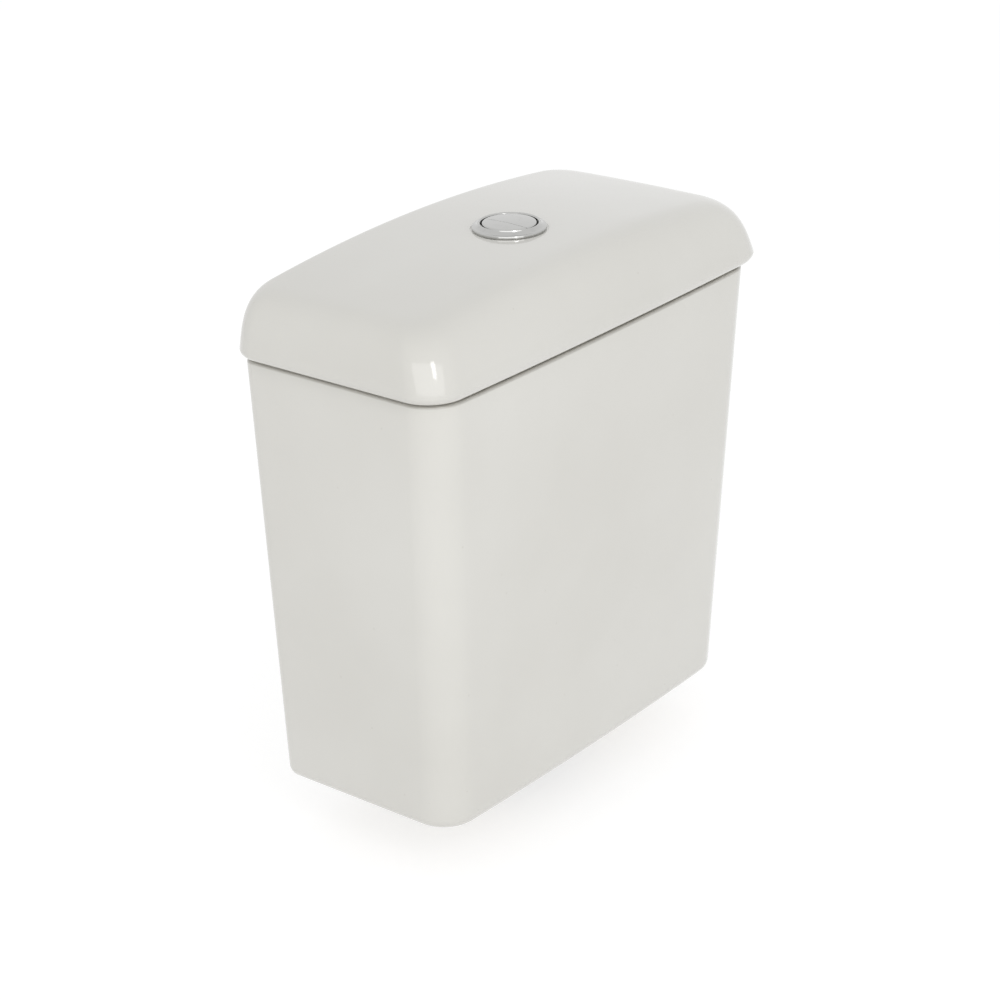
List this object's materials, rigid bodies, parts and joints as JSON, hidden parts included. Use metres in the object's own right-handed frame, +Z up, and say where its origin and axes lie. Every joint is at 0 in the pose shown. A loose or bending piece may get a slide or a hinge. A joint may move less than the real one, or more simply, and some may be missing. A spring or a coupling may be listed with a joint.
{
  "type": "toilet cistern",
  "caption": "Close-coupled ceramic toilet cistern with tapered tank, crowned lift-off lid, dual-flush push button, flush valve and fill valve.",
  "frame": {"origin": "on the underside of the tank, midway between the coupling bolts, on the axis of the flush outlet", "axes": "+Z up, the front faces -Y, +X to the right seen from the front"},
  "size_m": [0.386, 0.1856, 0.4387],
  "materials": {
    "glaze": "gloss glaze",
    "chrome": "bright plated",
    "white_plastic": "moulded, semi-gloss",
    "grey_plastic": "moulded, matte",
    "blue_plastic": "moulded, matte",
    "rubber": "soft moulded",
    "silicone": "soft moulded",
    "steel": "bright drawn",
    "brass": "machined"
  },
  "bodies": {
    "tank": {"cistern_tank": "glaze", "lid_buffers": "rubber", "valve_base": "white_plastic", "valve_cage": "white_plastic", "base_washer": "rubber", "back_nut": "white_plastic", "coupling_seal": "rubber", "valve_tower": "white_plastic", "rocker_bridge": "blue_plastic", "rocker_pin": "steel", "fill_shank": "brass", "fill_washer": "rubber", "fill_locknut": "white_plastic", "inlet_strainer": "white_plastic", "riser_lower": "white_plastic", "riser_upper": "white_plastic", "riser_collar": "blue_plastic", "fill_head": "white_plastic", "fill_diaphragm": "rubber", "fill_cap": "blue_plastic", "lever_pin": "steel", "coupling_bolts": "brass", "bolt_cone_washers": "rubber", "bolt_steel_washers": "steel"},
    "lid": {"cistern_lid": "glaze", "button_bezel": "chrome", "bezel_gasket": "rubber", "button_barrel": "white_plastic", "barrel_nut": "white_plastic"},
    "full_button": {"full_flush_button": "chrome", "full_push_rod": "grey_plastic", "full_return_spring": "steel"},
    "half_button": {"half_flush_button": "chrome", "half_push_rod": "grey_plastic", "half_return_spring": "steel"},
    "full_rocker": {"full_rocker": "white_plastic"},
    "half_rocker": {"half_rocker": "grey_plastic"},
    "flush_valve": {"overflow_tube": "white_plastic", "lift_stirrup": "blue_plastic", "flush_float": "blue_plastic", "valve_seal": "silicone", "seal_retainer": "white_plastic"},
    "half_sleeve": {"half_flush_sleeve": "grey_plastic"},
    "fill_lever": {"float_lever": "white_plastic"},
    "fill_float": {"fill_float": "grey_plastic", "float_link": "white_plastic", "link_knob": "blue_plastic"}
  },
  "joints": [
    {"name": "lid_lift", "type": "slide", "parent": "tank", "child": "lid", "axis": [0, 0, 1], "range_m": [0, 0.15]},
    {"name": "full_press", "type": "slide", "parent": "lid", "child": "full_button", "axis": [0, 0, -1], "range_m": [0, 0.006], "stiffness_N_per_m": 260, "springref_m": -0.005, "deforming": ["full_return_spring"]},
    {"name": "half_press", "type": "slide", "parent": "lid", "child": "half_button", "axis": [0, 0, -1], "range_m": [0, 0.006], "stiffness_N_per_m": 260, "springref_m": -0.005, "deforming": ["half_return_spring"]},
    {"name": "full_rocker_tilt", "type": "hinge", "parent": "tank", "child": "full_rocker", "pos_m": [0, 0, 0.284], "axis": [0, 1, 0], "range_deg": [0, 30.5]},
    {"name": "half_rocker_tilt", "type": "hinge", "parent": "tank", "child": "half_rocker", "pos_m": [0, 0, 0.284], "axis": [0, -1, 0], "range_deg": [0, 30.5]},
    {"name": "valve_lift", "type": "slide", "parent": "tank", "child": "flush_valve", "axis": [0, 0, 1], "range_m": [0, 0.0102]},
    {"name": "sleeve_set", "type": "slide", "parent": "tank", "child": "half_sleeve", "axis": [0, 0, 1], "range_m": [-0.02, 0.02]},
    {"name": "float_rise", "type": "slide", "parent": "tank", "child": "fill_float", "axis": [0, 0, 1], "range_m": [0, 0.00992]},
    {"name": "float_lever_tilt", "type": "hinge", "parent": "tank", "child": "fill_lever", "pos_m": [0.1, 0.008, 0.258], "axis": [0, 1, 0], "range_deg": [0, 16.2]}
  ],
  "couplings": [
    {"joint": "full_rocker_tilt", "follows": "full_press", "rad_per_m": 88.576},
    {"joint": "valve_lift", "follows": "full_press", "ratio": 1.6893},
    {"joint": "half_rocker_tilt", "follows": "half_press", "rad_per_m": 88.576},
    {"joint": "float_lever_tilt", "follows": "float_rise", "rad_per_m": 28.142}
  ]
}
